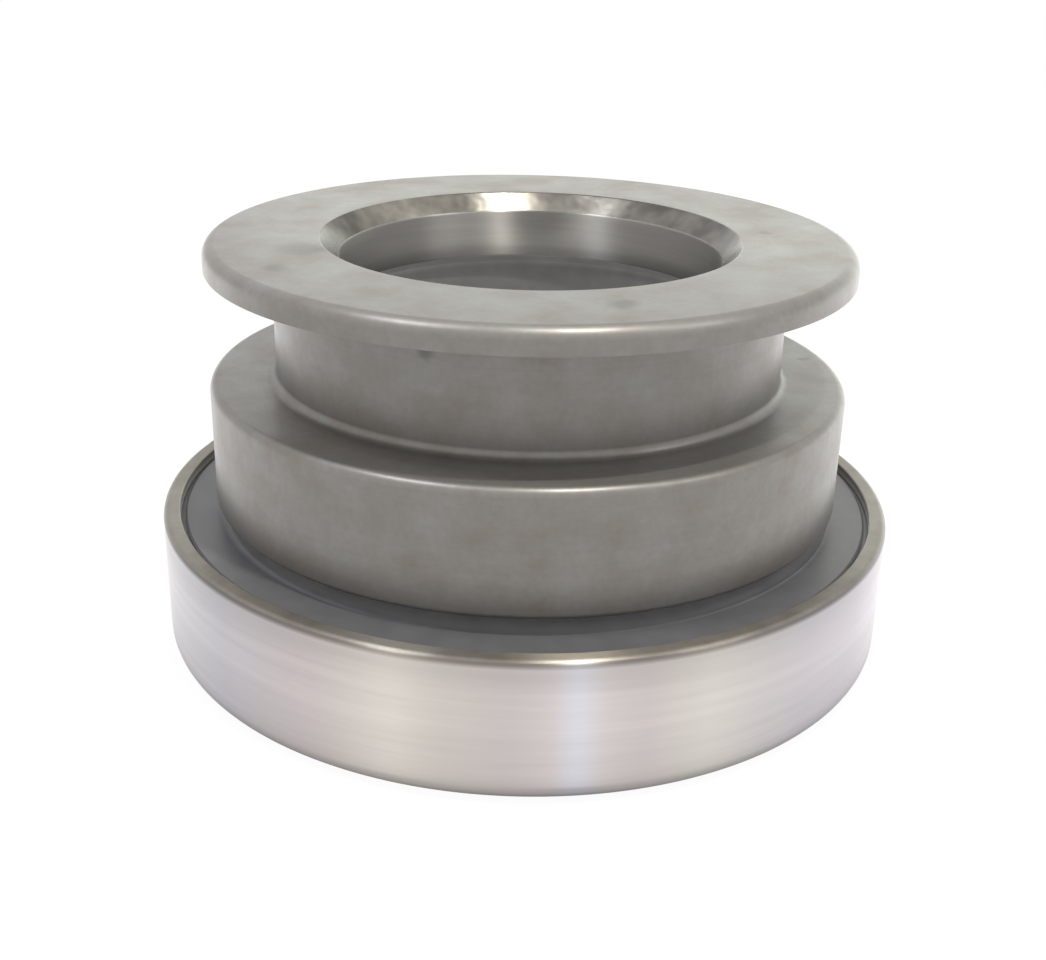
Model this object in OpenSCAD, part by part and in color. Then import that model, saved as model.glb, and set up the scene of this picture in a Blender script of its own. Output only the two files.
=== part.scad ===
// Clutch release bearing: a turned collar with a fork groove, carrying a sealed
// angular-contact ball bearing whose outer ring is the thrust face.
// Millimetres, +Z along the bore, thrust face on z = 0, flange uppermost.

/* [Collar] */
// Bore that slides on the guide tube
bore_d = 35; // [28:0.5:44]
// Wall from the bore to the bottom of the fork groove
neck_wall = 6; // [5:0.25:9]
// How far the flange stands out from the neck
flange_rise = 6; // [3:0.25:9]
// Thickness of the flange
flange_t = 2.2; // [1.8:0.1:5]
// Width of the fork groove
groove_w = 10.5; // [6:0.5:16]
// How far the shoulder stands out from the neck
shoulder_rise = 6; // [4:0.25:9]
// Thickness of the shoulder
shoulder_t = 11.3; // [7:0.1:18]
// Chamfer of the bore's mouth
mouth_chamfer = 1.65; // [0.8:0.05:2.5]
// Chamfer of the bore at the clutch end
foot_chamfer = 0.8; // [0.4:0.05:1.4]
// Rounding of the flange's upper edge
flange_edge_r = 1.15; // [0.4:0.05:1.4]
// Rounding of the shoulder's upper edge
shoulder_edge_r = 0.8; // [0.3:0.05:1]
// Chamfer of the flange's lower edge
flange_break = 0.1; // [0.05:0.05:0.3]
// Chamfer of the shoulder's lower edge
shoulder_break = 0.4; // [0.2:0.05:0.8]
// Fillet where the neck meets the flange and the shoulder
groove_fillet = 0.8; // [0.5:0.1:2]
// Wall of the spigot inside the inner ring
spigot_wall = 3.5; // [2.75:0.25:5]
// Chamfer of the spigot's lower end
spigot_break = 0.5; // [0.3:0.05:0.8]

/* [Bore recess] */
// Depth of the grease recess in the bore wall
recess_depth = 0.7; // [0.4:0.1:1.2]
// Guiding land above the recess
upper_land = 4.6; // [3:0.2:8]
// Guiding land below the recess
lower_land = 6; // [3:0.2:10]

/* [Bearing] */
// Ball diameter
ball_d = 7.144; // [6:0.001:8.5]
// Number of balls
ball_count = 16; // [12:1:17]
// Angle of the line of thrust through a ball, from the plane of the balls
contact_angle = 40; // [30:1:50]
// Raceway radius as a share of the ball diameter
conformity = 0.53; // [0.52:0.005:0.55]
// Free running gap between a ball and each raceway
race_gap = 0.04; // [0.02:0.01:0.08]
// Inner ring's wall behind the balls
inner_wall = 2.4; // [1.8:0.1:4]
// Outer ring's wall behind the balls
outer_wall = 3.95; // [3.4:0.05:6]
// Raceway's height past the line of thrust
race_lip = 1.5; // [1.2:0.1:1.8]
// Depth of the low lip that keeps the balls from falling out
ball_hold = 0.25; // [0.15:0.05:0.4]
// Chamfers of the inner ring's ends
ring_break = 0.3; // [0.15:0.05:0.5]
// How far the inner ring stands proud of the outer ring's rim
stand_off = 0.8; // [0.4:0.1:2]
// Distance of the inner ring's lower end from the thrust face
end_setback = 1; // [0.6:0.1:1.4]

/* [Outer ring] */
// Thickness of the thrust flange under the balls
face_t = 2.2; // [1.8:0.1:4]
// Rounding of the thrust face's outer edge
corner_r = 1.8; // [0.8:0.1:2.4]
// Width of the rim's flat land
rim_land = 1.55; // [1.2:0.05:2]
// Depth of the seal's face below the rim
rim_depth = 0.6; // [0.4:0.05:1.2]
// Rounding of the rim's outer edge
rim_r = 0.55; // [0.2:0.05:0.8]
// Chamfer of the rim's inner edge
land_break = 0.15; // [0.05:0.05:0.3]
// Chamfer of the thrust face's inner edge
face_break = 0.4; // [0.2:0.05:0.6]

/* [Seals] */
// Thickness of the upper seal
seal_t = 1.15; // [1:0.05:2]
// Chamfer of the upper seal's outer edge
seal_break = 0.2; // [0.1:0.05:0.3]
// Open channel between the rim and the upper seal's face
seal_step = 0.4; // [0.3:0.05:0.9]
// Height of the upper seal's bead
bead_t = 0.75; // [0.6:0.05:0.9]
// Chamfer of the bead
bead_break = 0.25; // [0.1:0.05:0.3]
// Play between the bead and its groove
bead_play = 0.05; // [0.02:0.01:0.08]
// How far the upper seal's bead snaps under the rim
seal_snap = 0.3; // [0.15:0.05:0.4]
// Gap between a seal's lip and the inner ring
lip_gap = 0.1; // [0.05:0.01:0.2]
// Thickness of a seal's lip at its tip
lip_t = 0.3; // [0.2:0.05:0.4]
// Depth of the upper lip's tip below the seal's face
lip_drop = 0.3; // [0.15:0.05:0.4]
// Radial width of the upper lip's sloping face
lip_slope = 0.6; // [0.4:0.05:0.9]
// Radial width of the upper lip's underside
lip_under = 1.3; // [1:0.1:1.8]
// Radial width of the lower seal
lower_seal_w = 2.4; // [2:0.1:3]
// Radial width of the lower seal's lip
lower_lip_w = 0.8; // [0.6:0.05:1.2]
// Height of the lower lip's tip above the ledge
lower_lip_rise = 0.45; // [0.3:0.05:0.6]
// Thickness of the ledge that the lower seal rests on
ledge_t = 0.9; // [0.7:0.1:1.2]
// Radial width of that ledge
ledge_w = 0.7; // [0.4:0.05:1]

/* [Ball cage] */
// Gap between a ball and its pocket
pocket_gap = 0.12; // [0.06:0.02:0.2]
// Gap between the cage and the inner ring's land
cage_gap = 0.5; // [0.3:0.05:0.7]
// Radial thickness of the cage
cage_wall = 3; // [2.4:0.1:3.4]
// Thickness of the cage's back above the balls
cage_back = 0.8; // [0.5:0.1:1.6]
// How far the prongs reach past the balls' centres
cage_grip = 1.2; // [0.6:0.1:1.4]
// Width of the slot between two prongs
prong_slot = 1.1; // [0.8:0.1:1.4]
// Height of a slot's round end above the balls' centres
slot_rise = 1; // [0.4:0.1:1.6]
// Free height between the cage and the upper seal
seal_gap = 0.7; // [0.4:0.1:1.5]
// Free height under the balls
floor_gap = 0.4; // [0.3:0.05:0.8]

/* [Hidden] */
$fn = 128;
// how far a spandrel reaches past its corner
bite = 0.05;
// how far a cut runs past the piece
over = 1;

// radii, worked outwards from the bore
bore_r = bore_d / 2;
neck_r = bore_r + neck_wall;
flange_r = neck_r + flange_rise;
shoulder_r = neck_r + shoulder_rise;
spigot_r = bore_r + spigot_wall;
ball_r = ball_d / 2;
pitch_r = spigot_r + inner_wall + ball_r;
ring_r = pitch_r + ball_r + outer_wall;
race_r = conformity * ball_d;
race_off = race_r - ball_r - race_gap;
inner_land_r = pitch_r - ball_r * cos(contact_angle) + race_lip;
inner_low_r = pitch_r - ball_r + ball_hold;
outer_lip_r = pitch_r + ball_r * cos(contact_angle) - race_lip;
counter_r = pitch_r + ball_r - ball_hold;
rim_in_r = ring_r - rim_land;
snap_r = rim_in_r + seal_snap;
bead_r = snap_r - bead_play;
seal_face_r = rim_in_r - seal_step;
lower_seal_r = inner_low_r + lip_gap + lower_seal_w;
ledge_r = lower_seal_r - ledge_w;
cage_in_r = inner_land_r + cage_gap;

// heights, worked upwards from the thrust face
ball_z = face_t + floor_gap + ball_r;
cage_low_z = ball_z - cage_grip;
cage_top_z = ball_z + ball_r + cage_back;
seal_z = cage_top_z + seal_gap;
seal_top_z = seal_z + seal_t;
bead_z = seal_z + bead_t;
ring_h = seal_top_z + rim_depth;
shoulder_z = ring_h + stand_off;
groove_z = shoulder_z + shoulder_t;
flange_z = groove_z + groove_w;
top_z = flange_z + flange_t;

function ball_name(i) = str("ball_", i < 10 ? "0" : "", i);
function ball_angle(i) = 360 * (i - 1) / ball_count;

// which node to draw

// A square corner's spandrel, true arc included. It is taken off an outside corner to round
// it, or added in an inside corner to fillet it. The signs point from the corner to the arc.
// It reaches a little past the corner, so that it bites into what it is added to or cut from,
// and its points always run anticlockwise.
module spandrel(corner, side_r, side_z, r) {
    points = [
        [-side_r * bite, -side_z * bite],
        [side_r * r, -side_z * bite],
        [side_r * r, 0],
        [0, side_z * r],
        [-side_r * bite, side_z * r]
    ];
    translate(corner)
        difference() {
            polygon(side_r * side_z > 0 ? points : [for (k = [4:-1:0]) points[k]]);
            translate([side_r * r, side_z * r]) circle(r = r);
        }
}

// The collar's section: flange, neck, shoulder and spigot outside, and inside the bore with
// its mouth, two guiding lands and the grease recess between them.
module collar_section() {
    recess_hi = top_z - mouth_chamfer - upper_land;
    recess_lo = end_setback + foot_chamfer + lower_land;
    difference() {
        union() {
            polygon([
                [bore_r + foot_chamfer, end_setback],
                [spigot_r - spigot_break, end_setback],
                [spigot_r, end_setback + spigot_break],
                [spigot_r, shoulder_z],
                [shoulder_r - shoulder_break, shoulder_z],
                [shoulder_r, shoulder_z + shoulder_break],
                [shoulder_r, groove_z],
                [neck_r, groove_z],
                [neck_r, flange_z],
                [flange_r - flange_break, flange_z],
                [flange_r, flange_z + flange_break],
                [flange_r, top_z],
                [bore_r + mouth_chamfer, top_z],
                [bore_r, top_z - mouth_chamfer],
                [bore_r, recess_hi],
                [bore_r + recess_depth, recess_hi - recess_depth],
                [bore_r + recess_depth, recess_lo + recess_depth],
                [bore_r, recess_lo],
                [bore_r, end_setback + foot_chamfer]
            ]);
            spandrel([neck_r, groove_z], 1, 1, groove_fillet);
            spandrel([neck_r, flange_z], 1, -1, groove_fillet);
        }
        spandrel([shoulder_r, groove_z], -1, -1, shoulder_edge_r);
        spandrel([flange_r, top_z], -1, -1, flange_edge_r);
    }
}

module collar()
    color("#8d8d88") rotate_extrude() collar_section();

// Inner ring: pressed on the spigot with its top face against the shoulder. The raceway is
// high on the upper side, which carries the thrust, and low on the other.
module inner_ring()
    color("#c9cbd0") rotate_extrude()
        difference() {
            polygon([
                [spigot_r, end_setback],
                [inner_low_r - ring_break, end_setback],
                [inner_low_r, end_setback + ring_break],
                [inner_low_r, ball_z],
                [inner_land_r, ball_z],
                [inner_land_r, shoulder_z - ring_break],
                [inner_land_r - ring_break, shoulder_z],
                [spigot_r, shoulder_z]
            ]);
            translate([pitch_r + race_off * cos(contact_angle), ball_z - race_off * sin(contact_angle)])
                circle(r = race_r);
        }

// Outer ring: thrust face below and a rim above, both with rounded outer edges, raceway low
// and outside, a step for the upper seal with a snap groove under the rim, and a ledge for
// the lower seal.
module outer_ring()
    color("#d3d4da") rotate_extrude()
        difference() {
            polygon([
                [ledge_r + face_break, 0],
                [ring_r, 0],
                [ring_r, ring_h],
                [rim_in_r + land_break, ring_h],
                [rim_in_r, ring_h - land_break],
                [rim_in_r, bead_z + bead_play],
                [snap_r, bead_z + bead_play],
                [snap_r, seal_z],
                [counter_r, seal_z],
                [counter_r, ball_z],
                [outer_lip_r, ball_z],
                [outer_lip_r, face_t],
                [lower_seal_r, face_t],
                [lower_seal_r, ledge_t],
                [ledge_r, ledge_t],
                [ledge_r, face_break]
            ]);
            translate([pitch_r - race_off * cos(contact_angle), ball_z + race_off * sin(contact_angle)])
                circle(r = race_r);
            spandrel([ring_r, 0], -1, 1, corner_r);
            spandrel([ring_r, ring_h], -1, -1, rim_r);
        }

// One ball. The balls are numbered anticlockwise from +X, seen from the flange.
module ball(i)
    color("#dfe2e6") rotate([0, 0, ball_angle(i)]) translate([pitch_r, 0, ball_z]) sphere(r = ball_r);

// Crown cage: a ring above the balls with a round pocket over each. The pockets close in
// below the balls' centres, and a slot between each two lets the prongs spring.
module ball_cage()
    color("#3c3a34") difference() {
        rotate_extrude()
            translate([cage_in_r, cage_low_z]) square([cage_wall, cage_top_z - cage_low_z]);
        for (i = [1:ball_count]) {
            rotate([0, 0, ball_angle(i)])
                translate([pitch_r, 0, ball_z]) sphere(r = ball_r + pocket_gap);
            rotate([0, 0, ball_angle(i + 0.5)]) {
                translate([cage_in_r - over, -prong_slot / 2, cage_low_z - over])
                    cube([cage_wall + 2 * over, prong_slot, ball_z + slot_rise - cage_low_z + over]);
                translate([cage_in_r - over, 0, ball_z + slot_rise])
                    rotate([0, 90, 0]) cylinder(d = prong_slot, h = cage_wall + 2 * over);
            }
        }
    }

// Upper seal: a flat rubber-faced disc with a bead that snaps under the rim and a lip that
// runs on the inner ring.
module upper_seal()
    color("#4a4a4c") rotate_extrude()
        polygon([
            [inner_land_r + lip_gap, seal_top_z - lip_drop],
            [inner_land_r + lip_gap, seal_top_z - lip_drop - lip_t],
            [inner_land_r + lip_under, seal_z],
            [bead_r, seal_z],
            [bead_r, bead_z - bead_break],
            [bead_r - bead_break, bead_z],
            [seal_face_r, bead_z],
            [seal_face_r, seal_top_z - seal_break],
            [seal_face_r - seal_break, seal_top_z],
            [inner_land_r + lip_slope, seal_top_z]
        ]);

// Lower seal: a rubber ring on the thrust flange's ledge, with its lip on the inner ring.
module lower_seal()
    color("#2b2b2d") rotate_extrude()
        polygon([
            [inner_low_r + lip_gap, ledge_t + lower_lip_rise],
            [inner_low_r + lower_lip_w, ledge_t],
            [lower_seal_r, ledge_t],
            [lower_seal_r, face_t],
            [inner_low_r + lower_lip_w, face_t],
            [inner_low_r + lip_gap, ledge_t + lower_lip_rise + lip_t]
        ]);

collar();
inner_ring();
outer_ring();
ball_cage();
upper_seal();
lower_seal();
for (i = [1:ball_count])
    ball(i);
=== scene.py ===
import math

import bpy
from mathutils import Matrix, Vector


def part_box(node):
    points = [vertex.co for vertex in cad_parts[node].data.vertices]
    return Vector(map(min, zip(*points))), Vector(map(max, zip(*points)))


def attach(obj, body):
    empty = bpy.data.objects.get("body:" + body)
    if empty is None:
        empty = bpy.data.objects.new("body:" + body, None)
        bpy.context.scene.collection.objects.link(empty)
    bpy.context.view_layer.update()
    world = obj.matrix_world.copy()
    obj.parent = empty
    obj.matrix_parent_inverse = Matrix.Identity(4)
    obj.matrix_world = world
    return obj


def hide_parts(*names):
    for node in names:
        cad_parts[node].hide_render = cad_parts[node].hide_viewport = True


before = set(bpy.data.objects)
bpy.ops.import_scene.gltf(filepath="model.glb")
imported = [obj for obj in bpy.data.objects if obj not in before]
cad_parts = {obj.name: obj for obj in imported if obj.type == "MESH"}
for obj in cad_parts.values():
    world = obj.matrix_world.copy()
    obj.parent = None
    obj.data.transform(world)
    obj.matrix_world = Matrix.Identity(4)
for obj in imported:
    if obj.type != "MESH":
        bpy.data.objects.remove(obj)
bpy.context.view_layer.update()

# Collar
# One piece of grey iron, turned all over: flange, neck with the fork groove, shoulder, bore, and
# the spigot that the bearing's inner ring is pressed onto. It stays as it comes off the lathe,
# satin grey under a film of oil. Only the bore's lands are reamed, and its mouth is cut bright.

MM = 0.001
FLANGE_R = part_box("collar")[1][0] / MM
COLLAR_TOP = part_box("collar")[1][2] / MM
COLLAR_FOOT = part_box("collar")[0][2] / MM
SHOULDER_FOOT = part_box("inner_ring")[1][2] / MM
BORE_R = 17.5
NECK_R = 23.5
SPIGOT_R = 21.0
SHOULDER_T = 11.3
FLANGE_T = 2.2
FLANGE_EDGE_R = 1.15
SHOULDER_EDGE_R = 0.8
GROOVE_FILLET = 0.8
SHOULDER_BREAK = 0.4
SPIGOT_BREAK = 0.5
MOUTH_CHAMFER = 1.65
FOOT_CHAMFER = 0.8
RECESS_DEPTH = 0.7
UPPER_LAND = 4.6
LOWER_LAND = 6.0
BURR_R = 0.12
GROOVE_FOOT = SHOULDER_FOOT + SHOULDER_T
FLANGE_FOOT = COLLAR_TOP - FLANGE_T
MOUTH_FOOT = COLLAR_TOP - MOUTH_CHAMFER
RECESS_TOP = MOUTH_FOOT - UPPER_LAND
RECESS_FOOT = COLLAR_FOOT + FOOT_CHAMFER + LOWER_LAND


def turned(name, section, steps=288):
    """A closed section of (radius, height, corner radius) in millimetres, turned round the Z axis."""
    touching = 1e-7
    bpy.ops.object.select_all(action="DESELECT")
    bpy.ops.mesh.primitive_circle_add(vertices=len(section), radius=MM, fill_type="NGON")
    piece = bpy.context.object
    piece.name = name
    places = [(radius * MM, height * MM) for radius, height, _ in section]
    for corner, (radius, height) in zip(piece.data.vertices, places):
        corner.co = (radius, 0, height)
    for rounding in sorted({r for _, _, r in section if r}):
        rounded = [place for place, (_, _, r) in zip(places, section) if r == rounding]
        bpy.ops.object.mode_set(mode="EDIT")
        bpy.ops.mesh.select_mode(type="VERT")
        bpy.ops.mesh.select_all(action="DESELECT")
        bpy.ops.object.mode_set(mode="OBJECT")
        for v in piece.data.vertices:
            v.select = any(math.dist((v.co.x, v.co.z), place) < touching for place in rounded)
        bpy.ops.object.mode_set(mode="EDIT")
        bpy.ops.mesh.bevel(offset=rounding * MM, offset_type="OFFSET", segments=8, affect="VERTICES")
        bpy.ops.object.mode_set(mode="OBJECT")
    bpy.ops.object.mode_set(mode="EDIT")
    bpy.ops.mesh.select_all(action="SELECT")
    bpy.ops.mesh.delete(type="ONLY_FACE")
    bpy.ops.mesh.select_all(action="SELECT")
    bpy.ops.mesh.spin(steps=steps, angle=2 * math.pi, center=(0, 0, 0), axis=(0, 0, 1))
    bpy.ops.mesh.select_all(action="SELECT")
    bpy.ops.mesh.remove_doubles(threshold=touching)
    bpy.ops.mesh.normals_make_consistent(inside=False)
    bpy.ops.object.mode_set(mode="OBJECT")
    bpy.ops.object.shade_smooth_by_angle(angle=math.radians(35))
    even = piece.modifiers.new("even_normals", "WEIGHTED_NORMAL")
    even.keep_sharp = True
    bpy.ops.object.modifier_apply(modifier=even.name)
    return piece


def finish_faces(piece, material, where):
    """Gives this material to the faces whose middle passes where(radius, height), in millimetres."""
    piece.data.materials.append(material)
    for face in piece.data.polygons:
        x, y, z = face.center / MM
        if where(math.hypot(x, y), z):
            face.material_index = len(piece.data.materials) - 1


def linear(hex_colour):
    """An sRGB hex colour as linear red, green, blue and a full alpha."""
    channels = [int(hex_colour[i:i + 2], 16) / 255 for i in (1, 3, 5)]
    return [c / 12.92 if c <= 0.04045 else ((c + 0.055) / 1.055) ** 2.4 for c in channels] + [1.0]


def new_finish(name, **sockets):
    """A new material, its node tree, and its surface shader with these sockets set."""
    material = bpy.data.materials.new(name)
    material.use_nodes = True
    shader = material.node_tree.nodes["Principled BSDF"]
    for socket, value in sockets.items():
        shader.inputs[socket.replace("_", " ")].default_value = value
    return material, material.node_tree, shader


def add_node(tree, kind, inputs=None, stops=None, **settings):
    """Adds a node with its settings and a ramp's stops. An input is linked, or set to a value."""
    node = tree.nodes.new(kind)
    for name, value in settings.items():
        if name in node.bl_rna.properties:
            setattr(node, name, value)
        else:
            node.inputs[name.replace("_", " ")].default_value = value
    if stops:
        ramp = node.color_ramp.elements
        for position, _ in stops[1:-1]:
            ramp.new(position)
        for stop, (position, hex_colour) in zip(ramp, stops):
            stop.position = position
            stop.color = linear(hex_colour)
    for name, source in (inputs or {}).items():
        if isinstance(source, bpy.types.NodeSocket):
            tree.links.new(source, node.inputs[name])
        else:
            node.inputs[name].default_value = source
    return node


collar = turned("turned_collar", [
    (BORE_R + FOOT_CHAMFER, COLLAR_FOOT, BURR_R),
    (SPIGOT_R - SPIGOT_BREAK, COLLAR_FOOT, BURR_R),
    (SPIGOT_R, COLLAR_FOOT + SPIGOT_BREAK, BURR_R),
    (SPIGOT_R, SHOULDER_FOOT, 0),
    (FLANGE_R - SHOULDER_BREAK, SHOULDER_FOOT, BURR_R),
    (FLANGE_R, SHOULDER_FOOT + SHOULDER_BREAK, BURR_R),
    (FLANGE_R, GROOVE_FOOT, SHOULDER_EDGE_R),
    (NECK_R, GROOVE_FOOT, GROOVE_FILLET),
    (NECK_R, FLANGE_FOOT, GROOVE_FILLET),
    (FLANGE_R, FLANGE_FOOT, 0),
    (FLANGE_R, COLLAR_TOP, FLANGE_EDGE_R),
    (BORE_R + MOUTH_CHAMFER, COLLAR_TOP, BURR_R),
    (BORE_R, MOUTH_FOOT, BURR_R),
    (BORE_R, RECESS_TOP, BURR_R),
    (BORE_R + RECESS_DEPTH, RECESS_TOP - RECESS_DEPTH, 0),
    (BORE_R + RECESS_DEPTH, RECESS_FOOT + RECESS_DEPTH, 0),
    (BORE_R, RECESS_FOOT, BURR_R),
    (BORE_R, COLLAR_FOOT + FOOT_CHAMFER, BURR_R),
])
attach(collar, "collar")
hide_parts("collar")

# Turned grey iron: satin, in blotches of oil film 4 mm across with a finer grain in them. The
# tool's marks run round the axis, 0.1 mm apart, and are drawn coarser so that they show.
BLOTCH = 4.0
GRAIN = 0.6
TOOL_MARK = 0.3
TOOL_MARK_DEPTH = 0.004
turned_iron, tree, iron = new_finish("turned_grey_iron", Metallic=0.65, Anisotropic=0.35,
                                     Anisotropic_Rotation=0.25)
round_axis = add_node(tree, "ShaderNodeTangent", direction_type="RADIAL", axis="Z")
tree.links.new(round_axis.outputs["Tangent"], iron.inputs["Tangent"])
place = add_node(tree, "ShaderNodeTexCoord").outputs["Object"]
blotches = add_node(tree, "ShaderNodeTexNoise", {"Vector": place},
                    Scale=1 / (BLOTCH * MM), Detail=3.0, Roughness=0.55)
shaded = add_node(tree, "ShaderNodeValToRGB", {"Fac": blotches.outputs["Fac"]},
                  stops=[(0.3, "#7c7670"), (0.5, "#807d79"), (0.7, "#83827e")]).outputs["Color"]
grain = add_node(tree, "ShaderNodeTexNoise", {"Vector": place},
                 Scale=1 / (GRAIN * MM), Detail=2.0, Roughness=0.5)
flat = add_node(tree, "ShaderNodeVectorMath", {0: place, 1: (1, 1, 0)}, operation="MULTIPLY")
radius = add_node(tree, "ShaderNodeVectorMath", {0: flat.outputs["Vector"]}, operation="LENGTH")
axes = add_node(tree, "ShaderNodeSeparateXYZ", {"Vector": place})
on_section = add_node(tree, "ShaderNodeCombineXYZ",
                      {"X": radius.outputs["Value"], "Y": axes.outputs["Z"]})
tool_marks = add_node(tree, "ShaderNodeTexNoise", {"Vector": on_section.outputs["Vector"]},
                      Scale=1 / (TOOL_MARK * MM), Detail=2.0)
levels = [
    add_node(tree, "ShaderNodeMapRange", {"Value": grain.outputs["Fac"]},
             From_Min=0.25, From_Max=0.75, To_Min=0.95, To_Max=1.05),
    add_node(tree, "ShaderNodeMapRange", {"Value": tool_marks.outputs["Fac"]},
             From_Min=0.25, From_Max=0.75, To_Min=0.97, To_Max=1.03),
]
# Dark stains with frayed edges, probably oil: where each lies, and how far it spreads.
FRAY = 2.4
frayed = add_node(tree, "ShaderNodeVectorMath",
                  {0: blotches.outputs["Color"], 1: (FRAY * MM, FRAY * MM, FRAY * MM), 2: place},
                  operation="MULTIPLY_ADD")
for x, y, z, spread in ((-19.7, -7.5, COLLAR_TOP, 2.8), (-21.2, -14.2, COLLAR_TOP, 1.2),
                        (7.4, -22.6, COLLAR_TOP, 1.5), (21.3, 3.1, COLLAR_TOP, 0.9),
                        (-7.9, -22.1, FLANGE_FOOT - 2.294, 0.9), (27.0, 4.4, GROOVE_FOOT, 0.7)):
    reach = add_node(tree, "ShaderNodeVectorMath",
                     {0: frayed.outputs["Vector"], 1: [(at + FRAY / 2) * MM for at in (x, y, z)]},
                     operation="DISTANCE")
    levels.append(add_node(tree, "ShaderNodeMapRange", {"Value": reach.outputs["Value"]},
                           interpolation_type="SMOOTHSTEP", From_Min=0.3 * spread * MM,
                           From_Max=1.2 * spread * MM, To_Min=0.66, To_Max=1.0))
# Painted light: the collar is drawn a little lighter towards the back, as it is in the photograph.
levels.append(add_node(tree, "ShaderNodeMapRange", {"Value": axes.outputs["Y"]},
                       From_Min=-FLANGE_R * MM, From_Max=FLANGE_R * MM, To_Min=0.95, To_Max=1.14))
# Painted shade: the foot of the shoulder's wall is drawn darker, as it is in the photograph.
SHADED_FOOT_RISE = 4.0
levels.append(add_node(tree, "ShaderNodeMapRange", {"Value": axes.outputs["Z"]},
                       interpolation_type="SMOOTHSTEP", From_Min=SHOULDER_FOOT * MM,
                       From_Max=(SHOULDER_FOOT + SHADED_FOOT_RISE) * MM, To_Min=0.72, To_Max=1.0))
for level in levels:
    shaded = add_node(tree, "ShaderNodeVectorMath", {0: shaded, "Scale": level.outputs["Result"]},
                      operation="SCALE").outputs["Vector"]
tree.links.new(shaded, iron.inputs["Base Color"])
dull = add_node(tree, "ShaderNodeMapRange", {"Value": blotches.outputs["Fac"]},
                From_Min=0.3, From_Max=0.7, To_Min=0.42, To_Max=0.37)
tree.links.new(dull.outputs["Result"], iron.inputs["Roughness"])
relief = add_node(tree, "ShaderNodeBump", {"Height": tool_marks.outputs["Fac"]},
                  Strength=0.15, Distance=TOOL_MARK_DEPTH * MM)
tree.links.new(relief.outputs["Normal"], iron.inputs["Normal"])
finish_faces(collar, turned_iron, lambda radius, height: True)

# Reamed grey iron: the reamer's marks run round the bore, too fine to be seen one by one, and are
# drawn coarser. They draw a lamp's reflection out into an upright streak.
REAMER_RUN = 9.0
REAMER_MARK = 0.5
FACE_MARGIN = 0.05
reamed_iron, tree, reamed = new_finish("reamed_grey_iron", Metallic=1.0, Roughness=0.38, Anisotropic=1.0,
                                       Anisotropic_Rotation=0.25)
round_axis = add_node(tree, "ShaderNodeTangent", direction_type="RADIAL", axis="Z")
tree.links.new(round_axis.outputs["Tangent"], reamed.inputs["Tangent"])
place = add_node(tree, "ShaderNodeTexCoord").outputs["Object"]
along = add_node(tree, "ShaderNodeMapping", {"Vector": place},
                 Scale=[1 / (size * MM) for size in (REAMER_RUN, REAMER_RUN, REAMER_MARK)])
marks = add_node(tree, "ShaderNodeTexNoise", {"Vector": along.outputs["Vector"]}, Scale=1.0, Detail=3.0)
shaded = add_node(tree, "ShaderNodeValToRGB", {"Fac": marks.outputs["Fac"]},
                  stops=[(0.3, "#b1aea9"), (0.7, "#b8b6b1")]).outputs["Color"]
# Painted shade: two places are drawn darker, as they are in the photograph: at the back just
# under the mouth, and along the upper land's lower edge. Oil and grease are a guess.
SPOT_X = 0.5
SPOT_CORE = 1.5
SPOT_REACH = 5.0
SHADE_RISE = 2.0
spot = add_node(tree, "ShaderNodeVectorMath",
                {0: place, 1: (SPOT_X * MM, BORE_R * MM, MOUTH_FOOT * MM)}, operation="DISTANCE")
axes = add_node(tree, "ShaderNodeSeparateXYZ", {"Vector": place})
back_shade = add_node(tree, "ShaderNodeMapRange", {"Value": spot.outputs["Value"]},
                 interpolation_type="SMOOTHSTEP", From_Min=SPOT_CORE * MM, From_Max=SPOT_REACH * MM,
                 To_Min=0.63, To_Max=1.0)
land_edge_shade = add_node(tree, "ShaderNodeMapRange", {"Value": axes.outputs["Z"]},
                   interpolation_type="SMOOTHSTEP", From_Min=RECESS_TOP * MM,
                   From_Max=(RECESS_TOP + SHADE_RISE) * MM, To_Min=0.55, To_Max=1.0)
for level in (back_shade, land_edge_shade):
    shaded = add_node(tree, "ShaderNodeVectorMath", {0: shaded, "Scale": level.outputs["Result"]},
                      operation="SCALE").outputs["Vector"]
tree.links.new(shaded, reamed.inputs["Base Color"])
finish_faces(collar, reamed_iron, lambda radius, height: radius < BORE_R + FACE_MARGIN)

# Rough iron: the recess between the bore's lands, drawn as if under a film of old grease. It is an
# even dark grey, with painted light just under the upper land, where the land's overhang shades it.
GREASE_PATCH = 2.0
greasy_iron, tree, greasy = new_finish("greasy_rough_iron", Roughness=0.6)
place = add_node(tree, "ShaderNodeTexCoord").outputs["Object"]
film = add_node(tree, "ShaderNodeTexNoise", {"Vector": place}, Scale=1 / (GREASE_PATCH * MM), Detail=3.0)
tones = add_node(tree, "ShaderNodeValToRGB", {"Fac": film.outputs["Fac"]},
                 stops=[(0.3, "#7d7c7b"), (0.7, "#868584")])
axes = add_node(tree, "ShaderNodeSeparateXYZ", {"Vector": place})
painted_light_under_land = add_node(tree, "ShaderNodeMapRange", {"Value": axes.outputs["Z"]},
                    interpolation_type="SMOOTHSTEP", From_Min=(RECESS_TOP - 2 * RECESS_DEPTH) * MM,
                    From_Max=(RECESS_TOP - 0.7 * RECESS_DEPTH) * MM, To_Min=1.0, To_Max=1.7)
shaded = add_node(tree, "ShaderNodeVectorMath",
                  {0: tones.outputs["Color"], "Scale": painted_light_under_land.outputs["Result"]}, operation="SCALE")
tree.links.new(shaded.outputs["Vector"], greasy.inputs["Base Color"])
finish_faces(collar, greasy_iron, lambda radius, height: radius < BORE_R + RECESS_DEPTH + FACE_MARGIN
             and RECESS_FOOT < height < RECESS_TOP - 0.02)

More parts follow.
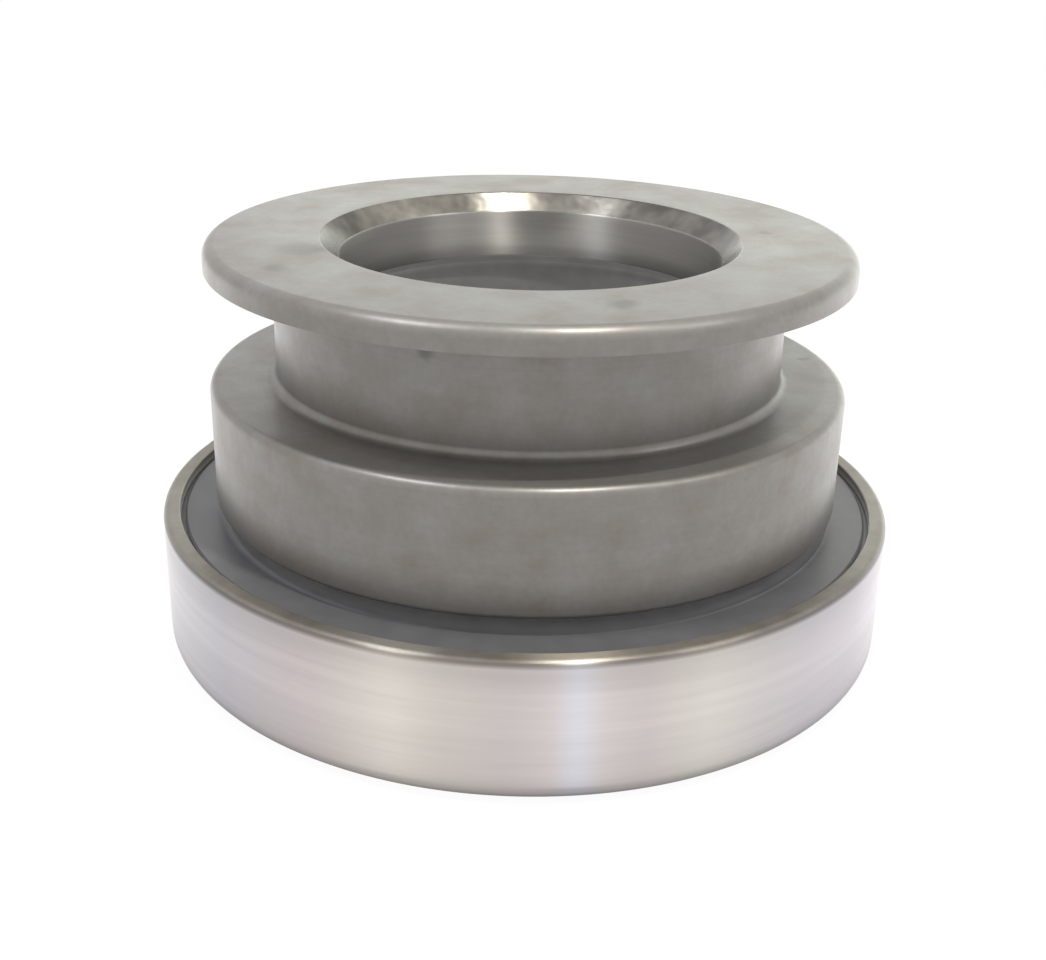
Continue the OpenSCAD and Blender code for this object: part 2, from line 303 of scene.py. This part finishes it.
# Bright cut iron: the mouth's chamfer, cut by a smooth tool that chattered a little. It shines
# more, in patches. The tints, at shares of a turn from the left, stand for the reflections that
# the photograph shows there.
SHINE_PATCH = 2.4
CHATTER = 1.6
CHATTER_DEPTH = 0.06
bright_iron, tree, bright = new_finish("bright_cut_iron", Metallic=1.0, Roughness=0.27)
place = add_node(tree, "ShaderNodeTexCoord").outputs["Object"]
turn = add_node(tree, "ShaderNodeTexGradient", {"Vector": place}, gradient_type="RADIAL")
tints = add_node(tree, "ShaderNodeValToRGB", {"Fac": turn.outputs["Fac"]},
                 stops=[(0.0, "#5b5852"), (0.6, "#797671"), (0.7, "#524f4a"), (0.75, "#76736d"),
                        (0.81, "#585651"), (0.865, "#9c978d"), (0.96, "#5b5852"), (1.0, "#5b5852")])
patches = add_node(tree, "ShaderNodeTexNoise", {"Vector": place}, Scale=1 / (SHINE_PATCH * MM), Detail=2.0)
level = add_node(tree, "ShaderNodeMapRange", {"Value": patches.outputs["Fac"]},
                 From_Min=0.34, From_Max=0.66, To_Min=0.72, To_Max=1.22)
shaded = add_node(tree, "ShaderNodeVectorMath",
                  {0: tints.outputs["Color"], "Scale": level.outputs["Result"]}, operation="SCALE")
tree.links.new(shaded.outputs["Vector"], bright.inputs["Base Color"])
chatter = add_node(tree, "ShaderNodeTexNoise", {"Vector": place}, Scale=1 / (CHATTER * MM), Detail=1.0)
relief = add_node(tree, "ShaderNodeBump", {"Height": chatter.outputs["Fac"]},
                  Strength=0.5, Distance=CHATTER_DEPTH * MM)
tree.links.new(relief.outputs["Normal"], bright.inputs["Normal"])
finish_faces(collar, bright_iron, lambda radius, height: height > MOUTH_FOOT
             and BORE_R + FACE_MARGIN < radius < BORE_R + MOUTH_CHAMFER)

# Outer ring
# Bearing steel, hardened. The outside is ground, with fine marks round the ring that draw a
# lamp's reflection out into an upright streak. The rim's flat land is only turned, and duller.
# Inside are the balls' raceway, the groove that the upper seal snaps into, and the lower seal's seat.

RING_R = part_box("outer_ring")[1][0] / MM
RING_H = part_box("outer_ring")[1][2] / MM
SEAL_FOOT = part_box("upper_seal")[0][2] / MM
RIM_R = 0.55
CORNER_R = 1.8
RIM_LAND = 1.55
LAND_BREAK = 0.15
SNAP_T = 0.8
SNAP_DEPTH = 0.3
COUNTERBORE_BREAK = 0.1
FACE_T = 2.2
FACE_BREAK = 0.4
LEDGE_T = 0.9
LEDGE_W = 0.7
LOWER_SEAL_W = 2.4
LIP_GAP = 0.1
INNER_WALL = 2.4
FLOOR_GAP = 0.4
BALL_R = 7.144 / 2
BALL_HOLD = 0.25
RACE_R = 1.06 * BALL_R
RACE_GAP = 0.04
RACE_LIP = 1.5
CONTACT = math.radians(40)
RIM_IN_R = RING_R - RIM_LAND
SNAP_R = RIM_IN_R + SNAP_DEPTH
SNAP_TOP = SEAL_FOOT + SNAP_T
PITCH_R = SPIGOT_R + INNER_WALL + BALL_R
BALL_Z = FACE_T + FLOOR_GAP + BALL_R
COUNTERBORE_R = PITCH_R + BALL_R - BALL_HOLD
LIP_R = PITCH_R + BALL_R * math.cos(CONTACT) - RACE_LIP
LOWER_SEAL_R = PITCH_R - BALL_R + BALL_HOLD + LIP_GAP + LOWER_SEAL_W
LEDGE_R = LOWER_SEAL_R - LEDGE_W
# The raceway's arc is struck from a point just off the ball's middle, on the line of contact.
RACE_OFF = RACE_R - BALL_R - RACE_GAP
RACE_X = PITCH_R - RACE_OFF * math.cos(CONTACT)
RACE_Z = BALL_Z + RACE_OFF * math.sin(CONTACT)
RACE_TOP = RACE_Z + math.sqrt(RACE_R ** 2 - (COUNTERBORE_R - RACE_X) ** 2)
RACE_FOOT = RACE_Z - math.sqrt(RACE_R ** 2 - (LIP_R - RACE_X) ** 2)
RACE = [(RACE_X + RACE_R * math.cos(math.radians(a)), RACE_Z + RACE_R * math.sin(math.radians(a)), 0)
        for a in range(20, -66, -5)]
outer_ring = turned("ground_outer_ring", [
    (LEDGE_R + FACE_BREAK, 0, BURR_R),
    (RING_R, 0, CORNER_R),
    (RING_R, RING_H, RIM_R),
    (RIM_IN_R, RING_H, LAND_BREAK),
    (RIM_IN_R, SNAP_TOP, 0),
    (SNAP_R, SNAP_TOP, 0),
    (SNAP_R, SEAL_FOOT, 0),
    (COUNTERBORE_R, SEAL_FOOT, COUNTERBORE_BREAK),
    (COUNTERBORE_R, RACE_TOP, 0),
    *RACE,
    (LIP_R, RACE_FOOT, 0),
    (LIP_R, FACE_T, 0),
    (LOWER_SEAL_R, FACE_T, 0),
    (LOWER_SEAL_R, LEDGE_T, 0),
    (LEDGE_R, LEDGE_T, 0),
    (LEDGE_R, FACE_BREAK, BURR_R),
])
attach(outer_ring, "outer_ring")
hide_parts("outer_ring")

# Ground steel: a pinkish grey with faint tints of cream, lavender and blue, at shares of a turn
# from the left, with painted shade that makes it a little darker towards its edges. The tints
# stand for the photograph's reflections, the upright streak among them, and turn with the ring.
# The grinding marks run 20 mm or so round it and are drawn coarser than they are.
GRINDING_RUN = 20.0
GRINDING_MARK = 0.7
ground_steel, tree, steel = new_finish("ground_bearing_steel", Metallic=1.0, Roughness=0.33,
                                       Anisotropic=1.0, Anisotropic_Rotation=0.25)
round_axis = add_node(tree, "ShaderNodeTangent", direction_type="RADIAL", axis="Z")
tree.links.new(round_axis.outputs["Tangent"], steel.inputs["Tangent"])
place = add_node(tree, "ShaderNodeTexCoord").outputs["Object"]
turn = add_node(tree, "ShaderNodeTexGradient", {"Vector": place}, gradient_type="RADIAL")
tints = add_node(tree, "ShaderNodeValToRGB", {"Fac": turn.outputs["Fac"]},
                 stops=[(0.0, "#cbc6c6"), (0.12, "#bdbabf"), (0.165, "#cac1c0"), (0.205, "#d5cfc6"),
                        (0.245, "#cdc5c3"), (0.262, "#cdc6c6"), (0.271, "#cccdd6"), (0.28, "#cdc6c6"),
                        (0.297, "#cdc5c3"), (0.322, "#d2cdc6"), (0.37, "#c7c1c6"), (1.0, "#cbc6c6")])
along = add_node(tree, "ShaderNodeMapping", {"Vector": place},
                 Scale=[1 / (size * MM) for size in (GRINDING_RUN, GRINDING_RUN, GRINDING_MARK)])
marks = add_node(tree, "ShaderNodeTexNoise", {"Vector": along.outputs["Vector"]},
                 Scale=1.0, Detail=4.0, Roughness=0.6)
marks_level = add_node(tree, "ShaderNodeMapRange", {"Value": marks.outputs["Fac"]},
                       From_Min=0.3, From_Max=0.7, To_Min=0.99, To_Max=1.09)
axes = add_node(tree, "ShaderNodeSeparateXYZ", {"Vector": place})
share_of_height = add_node(tree, "ShaderNodeMath", {0: axes.outputs["Z"], 1: RING_H * MM},
                           operation="DIVIDE")
# Painted shade: the steel is drawn darker towards its foot and much darker on the rim's rounding.
shade_by_height = add_node(tree, "ShaderNodeValToRGB", {"Fac": share_of_height.outputs["Value"]},
                 stops=[(0.0, "#d6d6d6"), (0.1, "#e4e4e4"), (0.2, "#f4f4f4"), (0.36, "#f6f6f6"),
                        (0.55, "#ffffff"), (0.75, "#fdfdfd"), (0.88, "#f1f1f1"), (0.945, "#efefef"),
                        (0.975, "#a3a19d")])
shaded_tints = add_node(tree, "ShaderNodeVectorMath", {0: tints.outputs["Color"], 1: shade_by_height.outputs["Color"]},
                  operation="MULTIPLY")
shaded = add_node(tree, "ShaderNodeVectorMath",
                  {0: shaded_tints.outputs["Vector"], "Scale": marks_level.outputs["Result"]}, operation="SCALE")
tree.links.new(shaded.outputs["Vector"], steel.inputs["Base Color"])
finish_faces(outer_ring, ground_steel, lambda radius, height: True)

# Turned steel: the rim's land and the upper part of its rounding, matt beige, in patches left by
# handling.
HANDLED_PATCH = 2.0
LAND_FOOT = RING_H - 0.3 * RIM_R
turned_steel, tree, rim_steel = new_finish("turned_bearing_steel", Metallic=1.0, Roughness=0.4,
                                           Anisotropic=0.9, Anisotropic_Rotation=0.25)
round_axis = add_node(tree, "ShaderNodeTangent", direction_type="RADIAL", axis="Z")
tree.links.new(round_axis.outputs["Tangent"], rim_steel.inputs["Tangent"])
place = add_node(tree, "ShaderNodeTexCoord").outputs["Object"]
patches = add_node(tree, "ShaderNodeTexNoise", {"Vector": place},
                   Scale=1 / (HANDLED_PATCH * MM), Detail=3.0)
tones = add_node(tree, "ShaderNodeValToRGB", {"Fac": patches.outputs["Fac"]},
                 stops=[(0.3, "#858077"), (0.7, "#938e85")])
tree.links.new(tones.outputs["Color"], rim_steel.inputs["Base Color"])
finish_faces(outer_ring, turned_steel,
             lambda radius, height: radius > RIM_IN_R - 2 * FACE_MARGIN and height > LAND_FOOT)

# Inner ring
# The same steel and grinding as the outer ring, pressed onto the collar's spigot. It shows only
# as an edge under the shoulder and as a narrow face at the clutch end.


def dress(node, material):
    """Gives a CAD node this material in place of its plain one."""
    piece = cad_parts[node]
    piece.data.materials.clear()
    piece.data.materials.append(material)


dress("inner_ring", ground_steel)

# Balls
# Sixteen balls of chrome steel, lapped and polished, between the two rings. They carry a film of
# grease and are hidden by the seals.

BALL_GREASE = 2.0
polished_steel, tree, ball_steel = new_finish("polished_ball_steel", Metallic=1.0,
                                              Base_Color=linear("#d6d8da"))
place = add_node(tree, "ShaderNodeTexCoord").outputs["Object"]
grease = add_node(tree, "ShaderNodeTexNoise", {"Vector": place}, Scale=1 / (BALL_GREASE * MM), Detail=2.0)
film = add_node(tree, "ShaderNodeMapRange", {"Value": grease.outputs["Fac"]},
                From_Min=0.4, From_Max=0.7, To_Min=0.05, To_Max=0.16)
tree.links.new(film.outputs["Result"], ball_steel.inputs["Roughness"])
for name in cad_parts:
    if name.startswith("ball_") and name != "ball_cage":
        dress(name, polished_steel)

# Ball cage
# A crown of glass-filled polyamide, moulded in one piece and snapped over the balls to keep them
# apart. The glass shows as paler flecks.

FIBRE_FLECK = 0.4
cage_polymer, tree, polymer = new_finish("moulded_polyamide", Roughness=0.5)
place = add_node(tree, "ShaderNodeTexCoord").outputs["Object"]
fibres = add_node(tree, "ShaderNodeTexNoise", {"Vector": place}, Scale=1 / (FIBRE_FLECK * MM), Detail=3.0)
flecks = add_node(tree, "ShaderNodeValToRGB", {"Fac": fibres.outputs["Fac"]},
                  stops=[(0.45, "#38352e"), (0.75, "#4a463c")])
tree.links.new(flecks.outputs["Color"], polymer.inputs["Base Color"])
dress("ball_cage", cage_polymer)

# Seals
# Nitrile rubber moulded on a steel washer and snapped into the outer ring, one above the balls
# and one below. The rubber is dark grey and finely gritty under a film of dust.

DUST_PATCH = 3.0
GRIT = 0.25
GRIT_DEPTH = 0.01
seal_rubber, tree, rubber = new_finish("nitrile_rubber", Roughness=0.4)
place = add_node(tree, "ShaderNodeTexCoord").outputs["Object"]
dust = add_node(tree, "ShaderNodeTexNoise", {"Vector": place},
                Scale=1 / (DUST_PATCH * MM), Detail=4.0, Roughness=0.6)
film = add_node(tree, "ShaderNodeValToRGB", {"Fac": dust.outputs["Fac"]},
                stops=[(0.3, "#505052"), (0.7, "#585859")])
# Under the shoulder the upper seal is drawn far paler than rubber is, up to nine times, because
# the gap there is lighter in the photograph than these lamps leave it.
PALE_CORE = FLANGE_R - 3.7
PALE_EDGE = FLANGE_R - 0.1
flat = add_node(tree, "ShaderNodeVectorMath", {0: place, 1: (1, 1, 0)}, operation="MULTIPLY")
radius = add_node(tree, "ShaderNodeVectorMath", {0: flat.outputs["Vector"]}, operation="LENGTH")
under_shoulder = add_node(tree, "ShaderNodeMapRange", {"Value": radius.outputs["Value"]},
                          From_Min=PALE_CORE * MM, From_Max=PALE_EDGE * MM, To_Min=9.0, To_Max=1.0)
axes = add_node(tree, "ShaderNodeSeparateXYZ", {"Vector": place})
upper = add_node(tree, "ShaderNodeMath", {0: axes.outputs["Z"], 1: RING_H / 2 * MM},
                 operation="GREATER_THAN")
paler = add_node(tree, "ShaderNodeMix", {"Factor": upper.outputs["Value"], "A": 1.0,
                                         "B": under_shoulder.outputs["Result"]})
shaded = add_node(tree, "ShaderNodeVectorMath",
                  {0: film.outputs["Color"], "Scale": paler.outputs["Result"]}, operation="SCALE")
tree.links.new(shaded.outputs["Vector"], rubber.inputs["Base Color"])
grit = add_node(tree, "ShaderNodeTexNoise", {"Vector": place}, Scale=1 / (GRIT * MM), Detail=2.0)
relief = add_node(tree, "ShaderNodeBump", {"Height": grit.outputs["Fac"]},
                  Strength=0.3, Distance=GRIT_DEPTH * MM)
tree.links.new(relief.outputs["Normal"], rubber.inputs["Normal"])
for name in ("upper_seal", "lower_seal"):
    dress(name, seal_rubber)

# Floor and surroundings
# A white sheet just under the part, and white all round it. The sheet keeps a faint shadow. In the
# metal's reflections it is brighter behind the part and dark close under the ring's foot.

SHEET_SIZE = 4.0
SHEET_DROP = 0.02
WHITE_SHARE = 0.95
BRIGHT_SIDE = math.radians(8)
FOOT_SHADE = 3.0
bpy.ops.object.select_all(action="DESELECT")
bpy.ops.mesh.primitive_plane_add(size=SHEET_SIZE, location=(0, 0, -SHEET_DROP * MM))
bpy.ops.object.transform_apply(location=True, rotation=False, scale=False)
floor = bpy.context.object
floor.name = "floor"
white_sheet, tree, unused_shader = new_finish("white_sheet")
tree.nodes.remove(unused_shader)
paper = add_node(tree, "ShaderNodeBsdfDiffuse", Color=linear("#f2f2f2"))
seen = add_node(tree, "ShaderNodeLightPath")
mirrored = add_node(tree, "ShaderNodeMath",
                    {0: seen.outputs["Is Glossy Ray"], 1: seen.outputs["Is Transmission Ray"]},
                    operation="MAXIMUM")
direct = add_node(tree, "ShaderNodeMath", {0: seen.outputs["Is Camera Ray"], 1: mirrored.outputs["Value"]},
                  operation="MAXIMUM")
share = add_node(tree, "ShaderNodeMath", {0: direct.outputs["Value"], 1: WHITE_SHARE}, operation="MULTIPLY")
place = add_node(tree, "ShaderNodeTexCoord").outputs["Object"]
behind = add_node(tree, "ShaderNodeVectorMath",
                  {0: place, 1: (math.sin(BRIGHT_SIDE), math.cos(BRIGHT_SIDE), 0)}, operation="DOT_PRODUCT")
brighter = add_node(tree, "ShaderNodeMapRange", {"Value": behind.outputs["Value"]},
                    From_Min=-0.05, From_Max=0.15, To_Min=1.0, To_Max=2.2)
foot_shade = add_node(tree, "ShaderNodeAmbientOcclusion", samples=16, Distance=FOOT_SHADE * MM)
shaded = add_node(tree, "ShaderNodeMath", {0: brighter.outputs["Result"], 1: foot_shade.outputs["AO"]},
                  operation="MULTIPLY")
level = add_node(tree, "ShaderNodeMix", {"Factor": mirrored.outputs["Value"], "A": 1.0,
                                         "B": shaded.outputs["Value"]})
glow = add_node(tree, "ShaderNodeEmission", {"Strength": level.outputs["Result"]}, Color=(1, 1, 1, 1))
mixed = add_node(tree, "ShaderNodeMixShader",
                 {0: share.outputs["Value"], 1: paper.outputs["BSDF"], 2: glow.outputs["Emission"]})
tree.links.new(mixed.outputs["Shader"], tree.nodes["Material Output"].inputs["Surface"])
floor.data.materials.append(white_sheet)

world = bpy.data.worlds.new("white_surroundings")
bpy.context.scene.world = world
world.use_nodes = True
background = world.node_tree.nodes["Background"]
background.inputs["Color"].default_value = (1, 1, 1, 1)
background.inputs["Strength"].default_value = 1.0

# A long soft panel low behind the part, to its right.
bpy.ops.object.light_add(type="AREA", location=(0.8, 0.9, 0.15))
panel = bpy.context.object
panel.name = "back_panel"
panel.data.shape = "RECTANGLE"
panel.data.size = 2.0
panel.data.size_y = 0.36
panel.data.energy = 2.2
panel.data.color = linear("#f5fff0")[:3]
panel.rotation_euler = (math.radians(-90), 0, 0)
panel.visible_camera = False

# Three lamps overhead: the side they stand on, from the camera's towards the right, their height,
# both in degrees, their width, power and colour.
LAMP_REACH = 0.6
for name, side, rise, width, power, colour in (
        ("key_lamp", 42, 75, 0.025, 1.8, "#fffaf2"),
        ("left_lamp", -70, 65, 0.1, 1.0, "#f6f9ff"),
        ("right_lamp", 72, 50, 0.2, 0.4, "#ffffff")):
    side = math.radians(side)
    rise = math.radians(rise)
    out = LAMP_REACH * math.cos(rise)
    bpy.ops.object.light_add(type="AREA", location=(out * math.sin(side), -out * math.cos(side),
                                                    LAMP_REACH * math.sin(rise)))
    lamp = bpy.context.object
    lamp.name = name
    lamp.data.shape = "DISK"
    lamp.data.size = width
    lamp.data.energy = power
    lamp.data.color = linear(colour)[:3]
    lamp.rotation_euler = (math.pi / 2 - rise, 0, side)
    lamp.visible_camera = False

# Camera
# At the photograph's viewing angle: close, a little above the flange. The focal length is in pixels
# of the picture's width, and the angles are in degrees.

PICTURE_W = 1046
FOCAL_PIXELS = 1421.8
SENSOR_W = 36
CAMERA_AT = (0, -0.12825, 0.0675)
ASIDE = 0.107
LOOK_DOWN = 22.847
ROLL = 1.298
bpy.ops.object.camera_add()
camera = bpy.context.object
camera.data.sensor_width = SENSOR_W
camera.data.lens = FOCAL_PIXELS / PICTURE_W * SENSOR_W
camera.matrix_world = (Matrix.Translation(CAMERA_AT)
                       @ Matrix.Rotation(math.radians(ASIDE), 4, "Z")
                       @ Matrix.Rotation(math.radians(90 - LOOK_DOWN), 4, "X")
                       @ Matrix.Rotation(math.radians(ROLL), 4, "Z"))
camera.data.clip_start = 0.005
bpy.context.scene.camera = camera

bpy.context.scene.view_settings.view_transform = "Standard"
